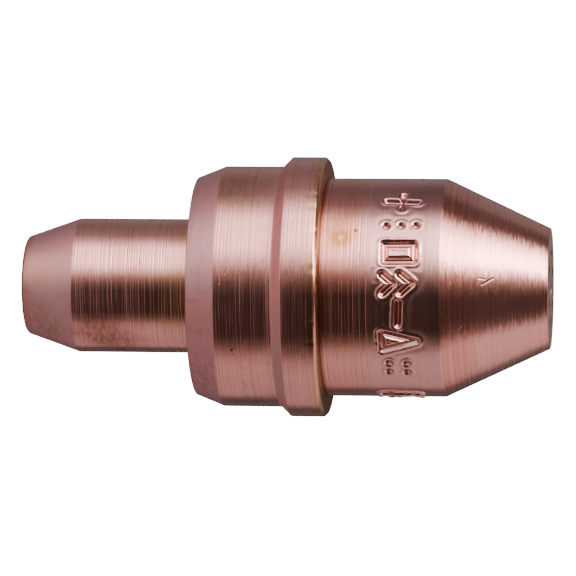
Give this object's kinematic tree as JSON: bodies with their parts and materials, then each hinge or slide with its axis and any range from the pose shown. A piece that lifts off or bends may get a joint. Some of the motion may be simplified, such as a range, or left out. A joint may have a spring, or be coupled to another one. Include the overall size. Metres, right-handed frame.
{
  "type": "oxy fuel cutting tip",
  "caption": "One-piece copper tip for an oxy-fuel cutting torch: tapered nose seat and preheat seat, collar, plain shank and a tapered front with an oxygen jet inside a ring of flame ports.",
  "frame": {"origin": "centre of the nose's end face, which the tip stands on", "axes": "+Z along the turning axis, from the nose towards the flame end"},
  "size_m": [0.0222, 0.0222, 0.045],
  "materials": {
    "bare_copper": null
  },
  "bodies": {
    "root": {"cutting_tip": "bare_copper"}
  },
  "joints": []
}
